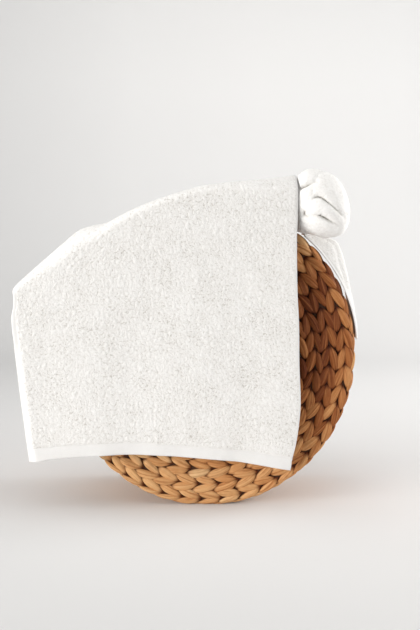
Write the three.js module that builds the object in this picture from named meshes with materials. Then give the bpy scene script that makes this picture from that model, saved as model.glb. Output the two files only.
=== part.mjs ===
// A face towel, rolled up askew from its far end and laid over the top of a round woven
// basket that lies on its side. The near half of the towel hangs loose in front.
// Millimetres, +Z up, X to the right, +Y away from the hanging half. Z = 0 is the
// surface that the basket rests on. In the tables Y = 0 is the front face of the
// basket's base. The whole model is then moved so that the origin is on the resting
// flat, under the middle of the basket's depth.
import * as THREE from 'three';

// ------------------------------------------------------------------ driving sizes
const basket = {
  x: 3.9, z: 274.5,          // centre of the round base
  radius: 273, oval: 5.8, ovalTurn: 73.6, // slightly out of round, long axis in degrees
  depth: 190, wall: 15, base: 16, edge: 9, rim: 24, rimDepth: 14,
  flatSplit: -9,             // where the resting flat's facets divide
};
const cloth = { thick: 4.2, gap: 1.5, clearEdge: 2.4 };
const origin = { depth: 95 };

// The line of the cloth over the top of the roll, from the left tip to the right end.
// top: height of the cloth, thick: height of the whole roll where it hangs in the air,
// depth: width of the wound core from front to back, tuck: how far the loose end's
// start goes round the back of the core, in degrees from the front.
const ROLL = [
  { x: -346, top: 405, thick: 28, depth: 56, tuck: 236 },
  { x: -321, top: 428, thick: 40, depth: 66, tuck: 236 },
  { x: -290, top: 456, thick: 54, depth: 78, tuck: 234 },
  { x: -260, top: 482, thick: 66, depth: 88, tuck: 230 },
  { x: -231, top: 505.5, thick: 74, depth: 94, tuck: 224 },
  { x: -207, top: 514.5, thick: 64, depth: 97, tuck: 212 },
  { x: -180, top: 519.5, thick: 46, depth: 99, tuck: 200 },
  { x: -157, top: 531, thick: 34, depth: 101, tuck: 192 },
  { x: -131, top: 544, thick: 30, depth: 103, tuck: 188 },
  { x: -95, top: 558.5, thick: 28, depth: 104, tuck: 186 },
  { x: -59, top: 571, thick: 28, depth: 104, tuck: 186 },
  { x: -30, top: 579.5, thick: 30, depth: 103, tuck: 186 },
  { x: -2, top: 586.5, thick: 34, depth: 102, tuck: 187 },
  { x: 38, top: 591.5, thick: 40, depth: 100, tuck: 190 },
  { x: 77, top: 595, thick: 50, depth: 98, tuck: 196 },
  { x: 122, top: 599.5, thick: 72, depth: 95, tuck: 204 },
  { x: 162, top: 604.5, thick: 102, depth: 92, tuck: 210 },
];
const tip = { left: -327, sheetBack: -331, sheetFront: -341, right: 159 };
const coreFront = -29;       // the core's front, where the loose end leaves it

// The puffed right end: rings about a level axis that turns towards the front.
// x, y, z: ring centre, half: half its width, up / down: height above and below it,
// square: 2 for an oval ring, more for one with fuller shoulders.
const END = [
  { x: 161, y: 17, z: 551, half: 46, up: 47.2, down: 45.5, yaw: 0, square: 2.05 },
  { x: 164, y: 16, z: 551, half: 46.8, up: 52.5, down: 47.5, yaw: 2, square: 2.4 },
  { x: 170, y: 14.5, z: 551, half: 47.2, up: 56.5, down: 49.5, yaw: 5, square: 2.6 },
  { x: 178, y: 11, z: 551, half: 46.4, up: 60.5, down: 51, yaw: 11, square: 2.45 },
  { x: 187, y: 6, z: 550.5, half: 45.3, up: 62.5, down: 52, yaw: 20, square: 2.25 },
  { x: 197, y: 0, z: 549, half: 44.6, up: 62.5, down: 52.2, yaw: 28, square: 2.1 },
  { x: 206, y: -5, z: 546, half: 45, up: 61, down: 52.5, yaw: 34, square: 2 },
];
// The rounded end beyond the last ring; the powers make it fuller (below 1) or slimmer.
const dome = { reach: 46, drop: 11, over: 1.15, under: 0.76, sides: 0.88 };

// Creases of the wound end, as seen from the front: x, z along each, and its depth.
const CREASES = [
  { deep: 7, wide: 11, fade: 0.8, line: [[163, 580], [170, 583], [178, 586], [188, 590], [198, 591], [211, 586], [224, 576], [238, 561]] },
  { deep: 8, wide: 11, fade: 0.7, line: [[181, 548], [183, 556], [188, 562], [196, 564], [206, 558], [217, 549], [228, 538], [240, 524]] },
  { deep: 8, wide: 11, fade: 0.8, line: [[170, 537], [172, 531], [184, 530], [197, 531], [204, 527], [213, 522], [226, 516], [240, 507]] },
];

// The loose end's left and right edges and its hem. fall: share of the drop.
const LEFT_EDGE = [
  { fall: 0, x: -341 }, { fall: 0.05, x: -343.5 }, { fall: 0.14, x: -345.5 }, { fall: 0.28, x: -343 },
  { fall: 0.46, x: -339.5 }, { fall: 0.64, x: -334.5 }, { fall: 0.82, x: -329 }, { fall: 1, x: -323 },
];
const RIGHT_EDGE = [
  { fall: 0, x: 160 }, { fall: 0.1, x: 157.5 }, { fall: 0.32, x: 159.5 }, { fall: 0.44, x: 163 },
  { fall: 0.6, x: 164.8 }, { fall: 0.74, x: 167.8 }, { fall: 0.82, x: 165.5 }, { fall: 0.9, x: 160 },
  { fall: 0.955, x: 154 }, { fall: 1, x: 151 },
];
const HEM = [
  { x: -324, z: 87 }, { x: -265, z: 95.5 }, { x: -195, z: 101 }, { x: -144, z: 103 },
  { x: -96, z: 102 }, { x: -27, z: 97.5 }, { x: 43, z: 91.5 }, { x: 85, z: 85.5 },
  { x: 123, z: 79 }, { x: 151, z: 74 },
];
// Soft upright waves of the hanging half: where, how wide, how far forward at the hem.
const WAVES = [
  { x: -300, wide: 34, out: -2 }, { x: -215, wide: 46, out: 2.5 }, { x: -120, wide: 40, out: -2 },
  { x: -20, wide: 48, out: 2 }, { x: 70, wide: 38, out: -1.5 }, { x: 130, wide: 26, out: 1.5 },
];
const hangs = { top: -33, hem: -27, curlWide: 16, curlBack: 9 };

// The far corner, on the basket's side: lift above the wall near the rim and further
// back, and its near and far edges, at angles round the basket from the right.
const CORNER = [
  { at: 7, nearLift: 2.4, farLift: 3, near: 16, far: 60 },
  { at: 12, nearLift: 2.4, farLift: 4.5, near: 7, far: 84 },
  { at: 18, nearLift: 2.4, farLift: 7, near: 5.5, far: 92 },
  { at: 25.5, nearLift: 2.4, farLift: 12, near: 6, far: 94 },
  { at: 32.5, nearLift: 2.4, farLift: 21, near: 8.5, far: 92 },
  { at: 38, nearLift: 2.4, farLift: 30, near: 10, far: 88 },
  { at: 42.5, nearLift: 2.4, farLift: 34.5, near: 11, far: 82 },
  { at: 46.5, nearLift: 2.4, farLift: 23, near: 11, far: 76 },
  { at: 50, nearLift: 2.4, farLift: 11.5, near: 12, far: 70 },
  { at: 52.5, nearLift: 2.4, farLift: 3.6, near: 13, far: 66 },
];
const corner = { slope: 24 };  // width of the slanting part next to the rim

// ------------------------------------------------------------------ helpers
const rad = Math.PI / 180;
const mix = (a, b, t) => a + (b - a) * t;
const clamp = (v, a, b) => Math.min(b, Math.max(a, v));
const ease = (t) => { const c = clamp(t, 0, 1); return c * c * (3 - 2 * c); };

// Value of one column of a table at a position, smooth between its rows.
function column(table, at, key, p) {
  const n = table.length;
  if (p <= table[0][at]) return table[0][key];
  if (p >= table[n - 1][at]) return table[n - 1][key];
  let i = 0;
  while (table[i + 1][at] < p) i += 1;
  const slope = (k) => {
    const a = table[Math.max(k - 1, 0)], b = table[Math.min(k + 1, n - 1)];
    return (b[key] - a[key]) / (b[at] - a[at]);
  };
  const a = table[i], b = table[i + 1], h = b[at] - a[at], t = (p - a[at]) / h;
  return (2 * t ** 3 - 3 * t ** 2 + 1) * a[key] + (t ** 3 - 2 * t ** 2 + t) * h * slope(i)
    + (3 * t ** 2 - 2 * t ** 3) * b[key] + (t ** 3 - t ** 2) * h * slope(i + 1);
}

// One closed body from a list of closed rings, with a fan over each end.
function loft(rings, first, last) {
  const n = rings[0].length, points = rings.flat(), faces = [];
  for (let i = 0; i + 1 < rings.length; i += 1) {
    for (let j = 0; j < n; j += 1) {
      const a = i * n + j, b = i * n + (j + 1) % n;
      faces.push([a, b, b + n], [a, b + n, a + n]);
    }
  }
  const cap = (ring, point, turn) => {
    const centre = points.length;
    points.push(point);
    for (let j = 0; j < n; j += 1) {
      const a = ring * n + j, b = ring * n + (j + 1) % n;
      faces.push(turn ? [centre, a, b] : [centre, b, a]);
    }
  };
  cap(0, first, false);
  cap(rings.length - 1, last, true);
  return body(points, faces);
}

// One closed sheet of even thickness about a grid of points on its middle surface.
function sheet(grid, thick) {
  const rows = grid.length, cols = grid[0].length, points = [], faces = [];
  const at = (i, j) => grid[clamp(i, 0, rows - 1)][clamp(j, 0, cols - 1)];
  for (const side of [1, -1]) {
    for (let i = 0; i < rows; i += 1) {
      for (let j = 0; j < cols; j += 1) {
        const du = at(i + 1, j).clone().sub(at(i - 1, j));
        const dv = at(i, j + 1).clone().sub(at(i, j - 1));
        const n = du.cross(dv).normalize();
        points.push(at(i, j).clone().addScaledVector(n, side * thick / 2));
      }
    }
  }
  const id = (i, j, s) => s * rows * cols + i * cols + j;
  for (let i = 0; i + 1 < rows; i += 1) {
    for (let j = 0; j + 1 < cols; j += 1) {
      for (const s of [0, 1]) {
        const a = id(i, j, s), b = id(i + 1, j, s), c = id(i + 1, j + 1, s), d = id(i, j + 1, s);
        if (s === 0) faces.push([a, b, c], [a, c, d]);
        else faces.push([a, c, b], [a, d, c]);
      }
    }
  }
  const edge = (a, b) => faces.push([a[0], a[1], b[1]], [a[0], b[1], b[0]]);
  const pair = (i, j) => [id(i, j, 0), id(i, j, 1)];
  for (let i = 0; i + 1 < rows; i += 1) {
    edge(pair(i, 0), pair(i + 1, 0));
    edge(pair(i + 1, cols - 1), pair(i, cols - 1));
  }
  for (let j = 0; j + 1 < cols; j += 1) {
    edge(pair(0, j + 1), pair(0, j));
    edge(pair(rows - 1, j), pair(rows - 1, j + 1));
  }
  return body(points, faces);
}

// Points and triangles as a geometry, with its faces turned outwards.
function body(points, faces) {
  const spread = new THREE.Vector3();
  const volume = faces.reduce((v, [a, b, c]) => v + points[a].dot(spread.crossVectors(points[b], points[c])), 0);
  if (volume < 0) faces.forEach((f) => f.reverse());
  const geometry = new THREE.BufferGeometry();
  geometry.setAttribute('position', new THREE.Float32BufferAttribute(points.flatMap((p) => [p.x, p.y, p.z]), 3));
  geometry.setIndex(faces.flat());
  geometry.computeVertexNormals();
  return geometry;
}

// ------------------------------------------------------------------ basket
const outlineRadius = (a) => basket.radius + basket.oval * Math.cos(2 * (a - basket.ovalTurn * rad));

// Height of the top of the basket's wall at x, and the angle where its outline meets z = 0.
function wallTop(x) {
  let lo = 0, hi = Math.PI;
  for (let k = 0; k < 40; k += 1) {
    const a = (lo + hi) / 2;
    if (basket.x + outlineRadius(a) * Math.cos(a) > x) lo = a; else hi = a;
  }
  return basket.z + outlineRadius(lo) * Math.sin(lo);
}
function flatAngle(side) {
  let out = side > 0 ? -0.6 : -Math.PI + 0.6, inn = -Math.PI / 2;
  for (let k = 0; k < 50; k += 1) {
    const a = (out + inn) / 2;
    if (basket.z + outlineRadius(a) * Math.sin(a) > 0) out = a; else inn = a;
  }
  return out;
}

function basketBody() {
  const from = flatAngle(1), to = flatAngle(-1) + 2 * Math.PI, around = 76, angles = [];
  for (let k = 0; k <= around; k += 1) angles.push(mix(from, to, k / around));
  angles.push(Math.atan2(-basket.z, basket.flatSplit - basket.x) + 2 * Math.PI);
  const w = basket.wall, d = basket.depth, e = basket.edge;
  const profile = [
    [e, 0], [e * 0.3, e * 0.3], [0, e], [0, d - 12], [2, d - 5], [8, d], [basket.rim - 7, d],
    [basket.rim - 1, d - 4], [basket.rim, d - basket.rimDepth / 2 - 3], [basket.rim - 3, d - basket.rimDepth - 2],
    [w, d - basket.rimDepth - 7], [w, basket.base + 6], [w + 6, basket.base],
  ];
  const rings = profile.map(([inset, y]) => angles.map((a) => {
    const r = outlineRadius(a) - inset;
    return new THREE.Vector3(basket.x + r * Math.cos(a), y, Math.max(basket.z + r * Math.sin(a), inset));
  }));
  return loft(rings, new THREE.Vector3(basket.x, 0, basket.z), new THREE.Vector3(basket.x, basket.base, basket.z));
}

// ------------------------------------------------------------------ roll
// Distance from a point, seen from the front, to a crease and the place along it.
function toCrease(line, x, z) {
  let best = [1e9, 0];
  for (let i = 0; i + 1 < line.length; i += 1) {
    const [ax, az] = line[i], [bx, bz] = line[i + 1];
    const t = clamp(((x - ax) * (bx - ax) + (z - az) * (bz - az)) / ((bx - ax) ** 2 + (bz - az) ** 2), 0, 1);
    const d = Math.hypot(x - mix(ax, bx, t), z - mix(az, bz, t));
    if (d < best[0]) best = [d, (i + t) / (line.length - 1)];
  }
  return best;
}
function creaseDepth(x, z) {
  let sum = 0;
  for (const c of CREASES) {
    const [d, along] = toCrease(c.line, x, z);
    sum = Math.max(sum, c.deep * Math.max(0, 1 - d / c.wide) ** 1.3 * mix(1, 1 - ease((along - 0.4) / 0.6), c.fade));
  }
  return sum;
}

// The core's section at x in an upright plane: a = 90 degrees is its top.
function core(x, a) {
  const top0 = column(ROLL, 'x', 'top', x);
  const tilt = (column(ROLL, 'x', 'top', x + 3) - column(ROLL, 'x', 'top', x - 3)) / 6;
  const top = top0 - (cloth.thick + cloth.gap) * Math.hypot(1, tilt);
  const air = top0 - column(ROLL, 'x', 'thick', x);
  const over = Math.abs(x - basket.x) < 255 ? wallTop(x) + cloth.clearEdge : -1e3;
  const low = Math.max(air, over) + 0.25 * Math.max(0, 6 - Math.abs(air - over));
  const depth = column(ROLL, 'x', 'depth', x), flat = mix(2.05, 2.9, ease((60 - (top - low)) / 40));
  const c = Math.cos(a), s = Math.sin(a), soft = (v) => Math.sign(v) * Math.abs(v) ** (2 / flat);
  return new THREE.Vector3(x, coreFront + depth / 2 - depth / 2 * soft(c), (top + low) / 2 + (top - low) / 2 * soft(s));
}

function ringOf(row, share, reach, a) {
  const round = (v) => Math.sign(v) * Math.abs(v) ** (2 / row.square);
  const yaw = row.yaw * rad, side = round(Math.cos(a)), lift = round(Math.sin(a));
  const v = (lift > 0 ? row.up * share ** dome.over : row.down * share ** dome.under) * lift;
  const h = row.half * share ** dome.sides * -side;
  return new THREE.Vector3(
    row.x + Math.cos(yaw) * reach + Math.sin(yaw) * h,
    row.y - Math.sin(yaw) * reach + Math.cos(yaw) * h,
    row.z + v - dome.drop * (reach / dome.reach) ** 2,
  );
}

const around = 52;
function rollBody() {
  const angles = [...Array(around).keys()].map((k) => k / around * 2 * Math.PI);
  const rings = [];
  const first = tip.left, last = tip.right - 4, steps = 25;
  // the left tip closes in a soft rounded fold
  for (const [share, back] of [[0.45, 4], [0.8, 2]]) {
    const x = first, mid = core(x, Math.PI / 2).add(core(x, -Math.PI / 2)).multiplyScalar(0.5);
    rings.push(angles.map((a) => { const p = core(x, a); p.lerp(new THREE.Vector3(p.x, mix(p.y, mid.y, 0.3), mid.z), 1 - share); p.x -= back; p.z -= back * 0.8; return p; }));
  }
  for (let i = 0; i <= steps; i += 1) {
    const x = mix(first, last, i / steps);
    rings.push(angles.map((a) => core(x, a)));
  }
  for (const row of END) rings.push(angles.map((a) => ringOf(row, 1, 0, a)));
  const lastRow = END[END.length - 1], domes = 12;
  for (let k = 1; k < domes; k += 1) {
    const t = k / domes * Math.PI / 2;
    rings.push(angles.map((a) => ringOf(lastRow, Math.cos(t), dome.reach * Math.sin(t), a)));
  }
  const front = rings.slice(-(domes + 4)).flat();
  for (const p of front) {
    if (p.y > 12) continue;
    const deep = creaseDepth(p.x, p.z) * ease((12 - p.y) / 14);
    const n = new THREE.Vector3(p.x - 190, p.y - 22, (p.z - 549) * 0.8).normalize();
    p.addScaledVector(n, -deep);
  }
  const mid = core(first, Math.PI / 2).add(core(first, -Math.PI / 2)).multiplyScalar(0.5);
  return loft(rings, mid.add(new THREE.Vector3(-5, 0, -4)), ringOf(lastRow, 0, dome.reach, 0));
}

// ------------------------------------------------------------------ loose end
function hangingY(x, z, fall) {
  let y = mix(hangs.top, hangs.hem, fall);
  for (const w of WAVES) y -= w.out * Math.exp(-(((x - w.x) / w.wide) ** 2)) * ease(fall * 1.2);
  const left = column(LEFT_EDGE, 'fall', 'x', fall);
  y += hangs.curlBack * (1 - ease((x - left) / hangs.curlWide)) * ease((fall - 0.12) / 0.5);
  return y;
}

function looseEnd() {
  const cols = 26, wrap = 19, drop = 17, rows = [];
  const out = cloth.gap + cloth.thick / 2;
  const xs = (round) => [...Array(cols + 1).keys()].map((j) => mix(mix(tip.sheetBack, tip.sheetFront, ease(round)), tip.right, j / cols));
  const over = (x, a) => {
    const p = core(x, a), h = 0.02;
    const du = core(x, a + h).sub(core(x, a - h)), dv = core(x + 1, a).sub(core(x - 1, a));
    return p.addScaledVector(du.cross(dv).normalize(), -out);
  };
  for (let i = 0; i <= wrap; i += 1) {
    rows.push(xs(i / wrap).map((x) => over(x, mix(column(ROLL, 'x', 'tuck', x) * rad, 0, i / wrap))));
  }
  const starts = rows[rows.length - 1];
  for (let i = 1; i <= drop; i += 1) {
    const fall = i / drop;
    rows.push(starts.map((s, j) => {
      const share = j / cols;
      const hemX = mix(HEM[0].x, HEM[HEM.length - 1].x, share), hemZ = column(HEM, 'x', 'z', hemX);
      const left = column(LEFT_EDGE, 'fall', 'x', fall), right = column(RIGHT_EDGE, 'fall', 'x', fall);
      const x = mix(mix(s.x, left, ease(fall * 8)), mix(s.x, right, ease(fall * 8)), share) * ease(fall * 8)
        + s.x * (1 - ease(fall * 8));
      const z = mix(s.z, hemZ, fall);
      return new THREE.Vector3(x, mix(s.y, hangingY(x, z, fall), ease(fall * 4)), z);
    }));
  }
  return sheet(rows, cloth.thick);
}

// ------------------------------------------------------------------ far corner
function farCorner() {
  const rows = [], steps = 18, cols = 8;
  const a0 = CORNER[0].at, a1 = CORNER[CORNER.length - 1].at;
  for (let i = 0; i <= steps; i += 1) {
    const at = mix(a1, a0, i / steps), get = (key) => column(CORNER, 'at', key, at);
    const row = [];
    for (let j = 0; j <= cols; j += 1) {
      const y = mix(get('near'), get('far'), (j / cols) ** 1.3);
      const lift = mix(get('nearLift'), get('farLift'), ease((y - get('near')) / corner.slope)) + cloth.thick / 2;
      const r = outlineRadius(at * rad) + lift;
      row.push(new THREE.Vector3(basket.x + r * Math.cos(at * rad), y, basket.z + r * Math.sin(at * rad)));
    }
    rows.push(row);
  }
  return sheet(rows, cloth.thick - 0.6);
}

// ------------------------------------------------------------------ the object
const terry = () => new THREE.MeshStandardMaterial({ color: 0xf4f2ee, roughness: 0.95, metalness: 0 });
const fibre = new THREE.MeshStandardMaterial({ color: 0xb07a45, roughness: 0.7, metalness: 0 });

function piece(name, geometry, material) {
  const mesh = new THREE.Mesh(geometry, material);
  mesh.name = name;
  return mesh;
}

const towel = new THREE.Group();
towel.add(
  piece('towel_loose_end', looseEnd(), terry()),
  piece('towel_roll', rollBody(), terry()),
  piece('towel_far_corner', farCorner(), terry()),
);
const group = new THREE.Group();
group.add(piece('basket', basketBody(), fibre), towel);
group.children.forEach((child) => { child.position.y = -origin.depth; });

export default group;
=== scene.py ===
import math

import bpy
import numpy as np
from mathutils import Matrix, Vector


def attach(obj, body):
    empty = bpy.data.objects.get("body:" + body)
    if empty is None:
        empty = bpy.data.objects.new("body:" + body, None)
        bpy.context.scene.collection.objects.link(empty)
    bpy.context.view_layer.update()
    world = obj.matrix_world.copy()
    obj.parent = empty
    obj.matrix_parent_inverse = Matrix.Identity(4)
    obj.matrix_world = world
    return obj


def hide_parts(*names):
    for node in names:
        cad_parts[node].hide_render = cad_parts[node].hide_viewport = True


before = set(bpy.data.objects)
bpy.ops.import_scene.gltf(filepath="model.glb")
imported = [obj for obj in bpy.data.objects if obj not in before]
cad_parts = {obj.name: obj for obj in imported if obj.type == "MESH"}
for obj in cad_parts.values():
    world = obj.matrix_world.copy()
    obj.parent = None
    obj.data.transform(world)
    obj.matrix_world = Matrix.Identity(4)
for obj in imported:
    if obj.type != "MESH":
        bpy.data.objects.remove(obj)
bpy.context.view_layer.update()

# Sizes are in millimetres until a mesh is made. As in the CAD, Y = 0 in the tables is
# the front face of the basket's base, and the model's origin lies 95 mm behind it.
MM = 0.001
BACK = 95.0
rng = np.random.default_rng(4731)


def table(names, *rows):
    """A short table as a dictionary of its named columns."""
    return {n: np.array([r[i] for r in rows], float) for i, n in enumerate(names.split())}


# ------------------------------------------------------------------ sizes shared with the CAD
BASKET = dict(x=3.9, z=274.5, radius=273.0, oval=5.8, turn=math.radians(73.6), depth=190.0,
              wall=15.0, base=16.0, edge=9.0, rim=24.0, rim_depth=14.0)
CLOTH = dict(thick=4.2, gap=1.5, clear=2.4)
ROLL = table("x top thick depth tuck",
             (-346, 405, 28, 56, 236), (-321, 428, 40, 66, 236), (-290, 456, 54, 78, 234),
             (-260, 482, 66, 88, 230), (-231, 505.5, 74, 94, 224), (-207, 514.5, 64, 97, 212),
             (-180, 519.5, 46, 99, 200), (-157, 531, 34, 101, 192), (-131, 544, 30, 103, 188),
             (-95, 558.5, 28, 104, 186), (-59, 571, 28, 104, 186), (-30, 579.5, 30, 103, 186),
             (-2, 586.5, 34, 102, 187), (38, 591.5, 40, 100, 190), (77, 595, 50, 98, 196),
             (122, 599.5, 72, 95, 204), (162, 604.5, 102, 92, 210))
TIP = dict(left=-327.0, sheet_back=-331.0, sheet_front=-341.0, right=159.0)
CORE_FRONT = -29.0
END = table("x y z half up down yaw square",
            (161, 17, 551, 46, 47.2, 45.5, 0, 2.05), (164, 16, 551, 46.8, 52.5, 47.5, 2, 2.4),
            (170, 14.5, 551, 47.2, 56.5, 49.5, 5, 2.6), (178, 11, 551, 46.4, 60.5, 51, 11, 2.45),
            (187, 6, 550.5, 45.3, 62.5, 52, 20, 2.25), (197, 0, 549, 44.6, 62.5, 52.2, 28, 2.1),
            (206, -5, 546, 45, 61, 52.5, 34, 2))
DOME = dict(reach=46.0, drop=11.0, over=1.15, under=0.76, sides=0.88)
LEFT_EDGE = table("fall x", (0, -341), (0.05, -343.5), (0.14, -345.5), (0.28, -343), (0.46, -339.5),
                  (0.64, -334.5), (0.82, -329), (1, -323))
RIGHT_EDGE = table("fall x", (0, 160), (0.1, 157.5), (0.32, 159.5), (0.44, 163), (0.6, 164.8),
                   (0.74, 167.8), (0.82, 165.5), (0.9, 160), (0.955, 154), (1, 151))
HEM = table("x z", (-324, 87), (-265, 95.5), (-195, 101), (-144, 103), (-96, 102), (-27, 97.5),
            (43, 91.5), (85, 85.5), (123, 79), (151, 74))
WAVES = table("x wide out", (-300, 34, -2), (-215, 46, 2.5), (-120, 40, -2), (-20, 48, 2),
              (70, 38, -1.5), (130, 26, 1.5))
HANGS = dict(top=-33.0, hem=-27.0, curl_wide=16.0, curl_back=9.0)
CORNER = table("at near_lift far_lift near far",
               (7, 2.4, 3, 16, 60), (12, 2.4, 4.5, 7, 84), (18, 2.4, 7, 5.5, 92), (25.5, 2.4, 12, 6, 94),
               (32.5, 2.4, 21, 8.5, 92), (38, 2.4, 30, 10, 88), (42.5, 2.4, 34.5, 11, 82),
               (46.5, 2.4, 23, 11, 76), (50, 2.4, 11.5, 12, 70), (52.5, 2.4, 3.6, 13, 66))
CORNER_SLOPE = 24.0

# Creases of the wound end, seen from the front: where each runs, how deep and how soft it is.
CREASES = [
    table("x z deep", (163, 579, 5), (167, 582, 8), (172, 584, 8.5), (178, 586, 6), (186, 589, 2.5), (194, 590.5, 0.6)),
    table("x z deep", (184, 560, 2), (188, 563.5, 6), (193, 564.5, 8.5), (199, 563, 8), (205, 558.5, 6.5),
          (213, 552, 5.5), (222, 544, 4.5), (231, 535, 2.5), (238, 527, 1)),
    table("x z deep", (169.5, 538, 6), (170, 533, 7), (174, 530, 3.5), (182, 530.5, 3), (192, 531.5, 4),
          (198, 531, 8.5), (204, 528, 9.5), (212, 523.5, 8), (220, 519.5, 3.5), (230, 514, 1.5)),
]


# ------------------------------------------------------------------ helpers
def mix(a, b, t):
    return a + (b - a) * t


def ease(t):
    c = np.clip(t, 0.0, 1.0)
    return c * c * (3 - 2 * c)


def column(t, at, key, p):
    """One column of a table at positions p, smooth between its rows."""
    xs, ys = t[at], t[key]
    n = len(xs)
    p = np.asarray(p, float)
    a = np.clip(np.searchsorted(xs, p, side="left") - 1, 0, n - 2)
    b = a + 1
    lo, hi = np.maximum(a - 1, 0), np.minimum(b + 1, n - 1)
    h = xs[b] - xs[a]
    sa, sb = (ys[b] - ys[lo]) / (xs[b] - xs[lo]), (ys[hi] - ys[a]) / (xs[hi] - xs[a])
    u = np.clip((p - xs[a]) / h, 0, 1)
    return ((2 * u**3 - 3 * u**2 + 1) * ys[a] + (u**3 - 2 * u**2 + u) * h * sa
            + (3 * u**2 - 2 * u**3) * ys[b] + (u**3 - u**2) * h * sb)


def unit(v):
    return v / np.maximum(np.linalg.norm(v, axis=-1, keepdims=True), 1e-9)


def grid_normals(p, loop=False):
    """Normals of a grid of points; loop joins its second direction end to end."""
    du = np.gradient(p, axis=0)
    if loop:
        dv = (np.roll(p, -1, axis=1) - np.roll(p, 1, axis=1)) / 2
    else:
        dv = np.gradient(p, axis=1)
    return unit(np.cross(du, dv))


NOISE = rng.random((64, 64, 64))


def lattice(ix, iy, iz):
    return NOISE[ix.astype(int) % 64, iy.astype(int) % 64, iz.astype(int) % 64]


def smooth_noise(x, y, z=0.0, seed=0):
    """Soft noise from -1 to 1 with features one unit wide."""
    x, y, z = np.broadcast_arrays(*(np.asarray(v, float) for v in (x, y, z)))
    z = z + seed * 7.31
    fx, fy, fz = np.floor(x), np.floor(y), np.floor(z)
    tx, ty, tz = ease(x - fx), ease(y - fy), ease(z - fz)
    out = 0.0
    for dx in (0, 1):
        for dy in (0, 1):
            for dz in (0, 1):
                w = (tx if dx else 1 - tx) * (ty if dy else 1 - ty) * (tz if dz else 1 - tz)
                out = out + w * lattice(fx + dx, fy + dy, fz + dz)
    return out * 2 - 1


def tufts(x, y, z=None, seed=0):
    """Round tufts one unit apart, from 0 between them to about 1 on top, each of its own height."""
    flat = z is None
    z = np.zeros_like(x) if flat else z
    fx, fy, fz = np.floor(x), np.floor(y), np.floor(z)
    best = np.full(x.shape, 9.0)
    tall = np.zeros(x.shape)
    for dx in (-1, 0, 1):
        for dy in (-1, 0, 1):
            for dz in (0,) if flat else (-1, 0, 1):
                cx, cy, cz = fx + dx, fy + dy, fz + dz
                jx = lattice(cx, cy, cz + 11 + seed)
                jy = lattice(cy + 5, cz + seed, cx + 3)
                jz = 0.5 if flat else lattice(cz + 9, cx + 17 + seed, cy)
                d = (cx + 0.12 + 0.76 * jx - x) ** 2 + (cy + 0.12 + 0.76 * jy - y) ** 2
                if not flat:
                    d = d + (cz + 0.12 + 0.76 * jz - z) ** 2
                near = d < best
                best = np.where(near, d, best)
                tall = np.where(near, lattice(cy + 31, cx + 7, cz + 23 + seed), tall)
    return np.clip(1 - best / 0.62, 0, 1) * (0.45 + 0.55 * tall)


def add_mesh(name, points, faces, material, attributes=(), smooth=True):
    """A new object from points in millimetres with Y from the base's front face."""
    pts = np.asarray(points, float) * MM
    pts[:, 1] -= BACK * MM
    me = bpy.data.meshes.new(name)
    quads = [f for f in faces if f is not None and len(f)]
    me.vertices.add(len(pts))
    me.vertices.foreach_set("co", pts.astype(np.float32).ravel())
    flat, starts, at = [], [], 0
    for f in quads:
        f = np.asarray(f)
        flat.append(f.ravel())
        starts.append(at + np.arange(len(f)) * f.shape[1])
        at += f.size
    me.loops.add(at)
    me.loops.foreach_set("vertex_index", np.concatenate(flat).astype(np.int32))
    starts = np.concatenate(starts)
    me.polygons.add(len(starts))
    me.polygons.foreach_set("loop_start", starts.astype(np.int32))
    me.update(calc_edges=True)
    me.validate()
    if smooth:
        me.polygons.foreach_set("use_smooth", np.ones(len(me.polygons), bool))
    for key, kind, values in attributes:
        a = me.attributes.new(key, kind, "POINT")
        a.data.foreach_set("vector" if kind == "FLOAT_VECTOR" else "value", np.asarray(values, np.float32).ravel())
    ob = bpy.data.objects.new(name, me)
    bpy.context.scene.collection.objects.link(ob)
    me.materials.append(material)
    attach(ob, "root")
    return ob


def grid_faces(rows, cols, start=0, loop=False, flip=False):
    """Quads of a grid of vertices that starts at a number."""
    i, j = np.meshgrid(np.arange(rows - 1), np.arange(cols if loop else cols - 1), indexing="ij")
    a = start + i * cols + j
    b = start + i * cols + (j + 1) % cols
    f = np.stack([a, b, b + cols, a + cols], -1).reshape(-1, 4)
    return f[:, ::-1] if flip else f


# ------------------------------------------------------------------ materials
def new_material(name):
    m = bpy.data.materials.new(name)
    m.use_nodes = True
    nt = m.node_tree
    nt.nodes.clear()
    out = nt.nodes.new("ShaderNodeOutputMaterial")
    bsdf = nt.nodes.new("ShaderNodeBsdfPrincipled")
    nt.links.new(bsdf.outputs[0], out.inputs[0])
    return m, nt, bsdf


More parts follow.
